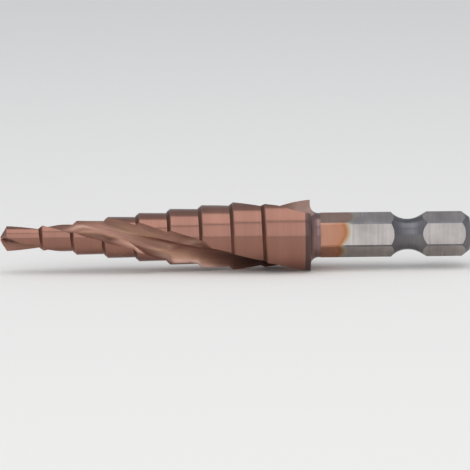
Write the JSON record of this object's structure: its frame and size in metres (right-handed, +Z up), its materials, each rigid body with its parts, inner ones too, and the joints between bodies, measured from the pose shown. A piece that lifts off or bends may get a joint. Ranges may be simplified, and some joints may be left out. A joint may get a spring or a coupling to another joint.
{
  "type": "step drill",
  "caption": "Fluted step drill with a split point, stepped cutting body and hexagonal quick-change shank.",
  "frame": {"origin": "centre of the bounding box's bottom, on the surface that the drill lies on", "axes": "+X along the drill from its tip towards its shank end, the axis itself almost level; +Z up"},
  "size_m": [0.075, 0.0118, 0.011],
  "materials": {
    "coated_tool_steel": "satin ground, with a copper-brown coating on the fluted body and bare grey steel on the shank"
  },
  "bodies": {
    "root": {"step_drill": "coated_tool_steel"}
  },
  "joints": []
}
